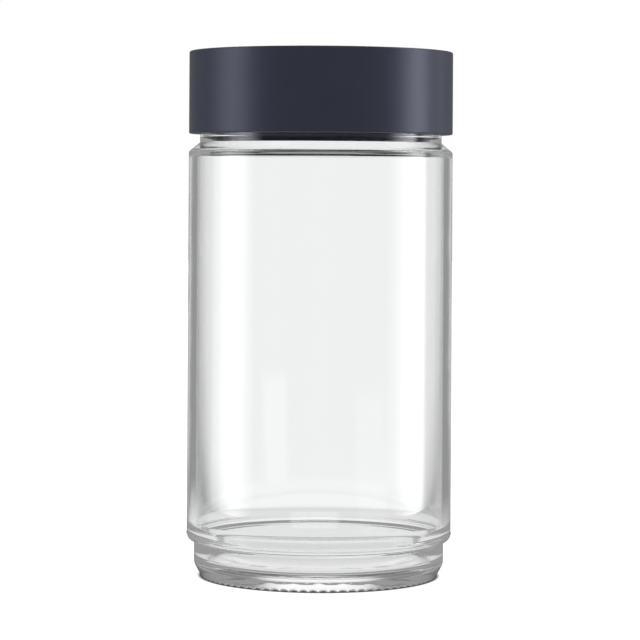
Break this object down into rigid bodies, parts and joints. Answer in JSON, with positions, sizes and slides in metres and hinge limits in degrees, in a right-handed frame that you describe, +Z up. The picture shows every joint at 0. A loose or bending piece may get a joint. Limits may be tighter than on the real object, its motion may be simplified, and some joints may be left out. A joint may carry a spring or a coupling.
{
  "type": "glass storage jar",
  "caption": "Tall cylindrical clear glass storage jar for dry food, with a flush plastic screw lid, a silicone seal and a drawn-in foot that nests in the lid of a jar below.",
  "frame": {"origin": "centre of the ring that the jar stands on, on the jar's axis, at the bottom of the foot", "axes": "+Z up along the jar's axis, towards the lid; the jar is turned about +Z, so +X and +Y are free, and the first start of the neck's thread begins at +X"},
  "size_m": [0.1, 0.1, 0.1983],
  "materials": {
    "clear_glass": "clear polished soda-lime glass",
    "slate_plastic": "satin moulded plastic, slate blue-grey",
    "silicone": "translucent white silicone rubber"
  },
  "bodies": {
    "jar": {"glass_jar": "clear_glass"},
    "seal": {"seal_ring": "silicone"},
    "lid": {"lid": "slate_plastic"}
  },
  "joints": [
    {"name": "lid_rise", "type": "slide", "parent": "jar", "child": "seal", "axis": [0, 0, 1], "range_m": [0, 0.0365]},
    {"name": "lid_turn", "type": "hinge", "parent": "seal", "child": "lid", "pos_m": [0, 0, 0.1671], "axis": [0, 0, 1], "range_deg": [0, 720]}
  ],
  "couplings": [
    {"joint": "lid_rise", "follows": "lid_turn", "m_per_rad": 0.0028648}
  ]
}
